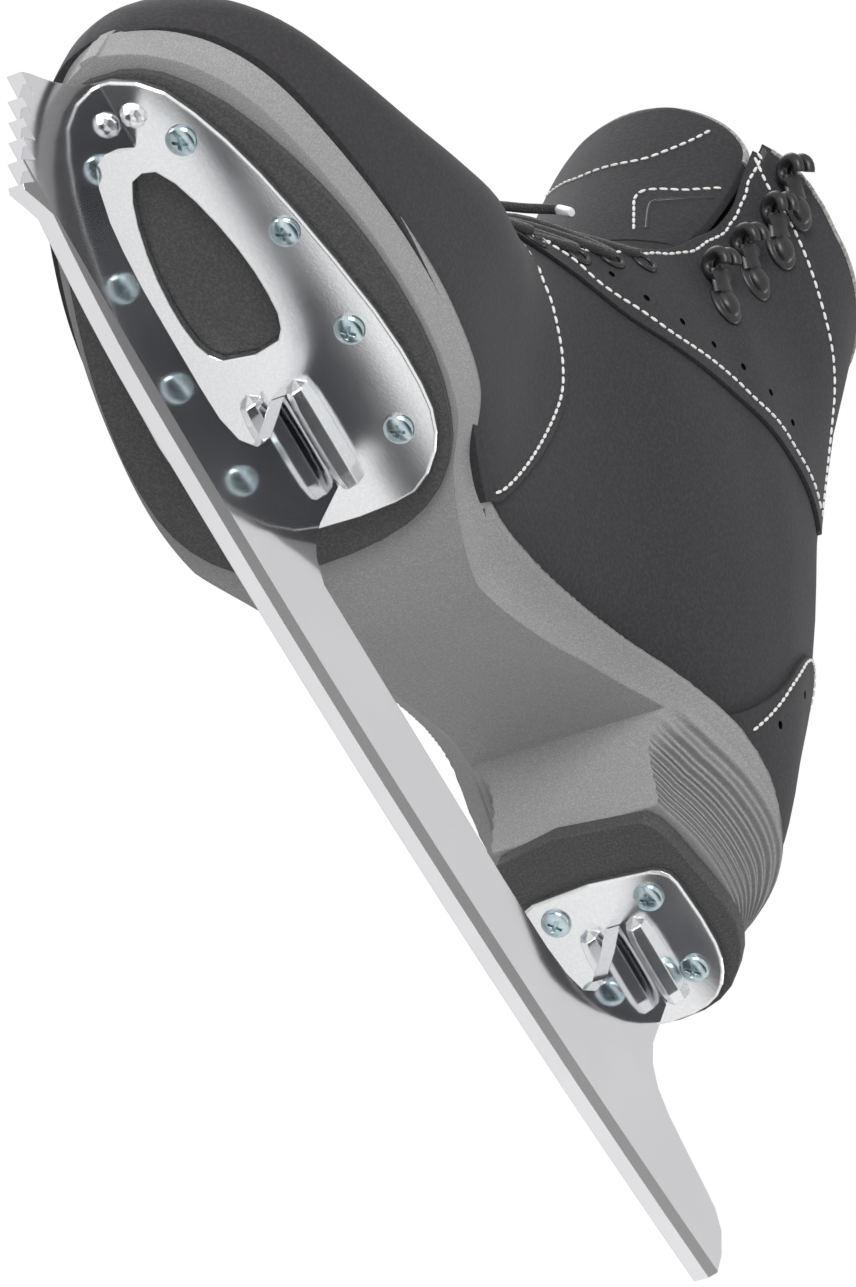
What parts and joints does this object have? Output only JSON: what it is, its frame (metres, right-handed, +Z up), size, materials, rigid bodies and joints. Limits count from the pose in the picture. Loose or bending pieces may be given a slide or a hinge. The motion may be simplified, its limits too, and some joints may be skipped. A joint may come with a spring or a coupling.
{
  "type": "figure skate",
  "caption": "Right laced boot with a stiff ankle on a stanchioned steel blade with toe picks, for figure skating on ice.",
  "frame": {"origin": "lowest point of the runner, in the middle of the blade's thickness, where it meets the ice", "axes": "+Z up, -Y towards the toe, +X towards the inner side of the foot"},
  "size_m": [0.0998, 0.3404, 0.2782],
  "materials": {
    "blade_steel": "mirror polished sides, ground relief band and edge",
    "plate_chrome": "bright pressed plate",
    "screw_zinc": "blue zinc plated",
    "sole_rubber": "matt moulded rubber",
    "midsole_grey": "speckled grey foam plastic, satin",
    "shank_steel": "spring steel strip",
    "upper_black": "matt black, fine nap",
    "stay_black": "matt black overlay with light stitching",
    "tongue_black": "matt black, grey raw edge",
    "lining_cloth": "grey knitted lining",
    "stiffener_board": "moulded fibre board",
    "pad_foam": "collar foam",
    "insole_fibre": "fibre board",
    "footbed_foam": "covered foam",
    "hook_black": "black baked enamel",
    "lace_black": "braided, waxed"
  },
  "bodies": {
    "boot": {"blade": "blade_steel", "collar_pad": "pad_foam", "counter_patch": "upper_black", "eyelet_inner_1": "hook_black", "eyelet_inner_2": "hook_black", "eyelet_inner_3": "hook_black", "eyelet_inner_4": "hook_black", "eyelet_inner_5": "hook_black", "eyelet_outer_1": "hook_black", "eyelet_outer_2": "hook_black", "eyelet_outer_3": "hook_black", "eyelet_outer_4": "hook_black", "eyelet_outer_5": "hook_black", "eyestay_inner": "stay_black", "eyestay_outer": "stay_black", "footbed": "footbed_foam", "heel_counter": "stiffener_board", "heel_lift": "sole_rubber", "heel_plate": "plate_chrome", "heel_screw_inner_1": "screw_zinc", "heel_screw_inner_2": "screw_zinc", "heel_screw_outer_1": "screw_zinc", "heel_screw_outer_2": "screw_zinc", "insole_board": "insole_fibre", "lace": "lace_black", "lace_hook_inner_1": "hook_black", "lace_hook_inner_2": "hook_black", "lace_hook_inner_3": "hook_black", "lace_hook_inner_4": "hook_black", "lace_hook_outer_1": "hook_black", "lace_hook_outer_2": "hook_black", "lace_hook_outer_3": "hook_black", "lace_hook_outer_4": "hook_black", "lining": "lining_cloth", "midsole": "midsole_grey", "outsole": "sole_rubber", "quarter_inner": "upper_black", "quarter_outer": "upper_black", "shank": "shank_steel", "side_stiffener": "stiffener_board", "sole_plate": "plate_chrome", "sole_screw_inner_1": "screw_zinc", "sole_screw_inner_2": "screw_zinc", "sole_screw_inner_3": "screw_zinc", "sole_screw_inner_4": "screw_zinc", "sole_screw_outer_1": "screw_zinc", "sole_screw_outer_2": "screw_zinc", "sole_screw_outer_3": "screw_zinc", "sole_screw_outer_4": "screw_zinc", "toe_puff": "stiffener_board", "tongue_lower": "tongue_black", "vamp": "upper_black"},
    "tongue": {"tongue_upper": "tongue_black"}
  },
  "joints": [
    {"name": "tongue_fold", "type": "hinge", "parent": "boot", "child": "tongue", "pos_m": [0, 0.0388, 0.214], "axis": [1, 0, 0], "range_deg": [0, 30]}
  ]
}
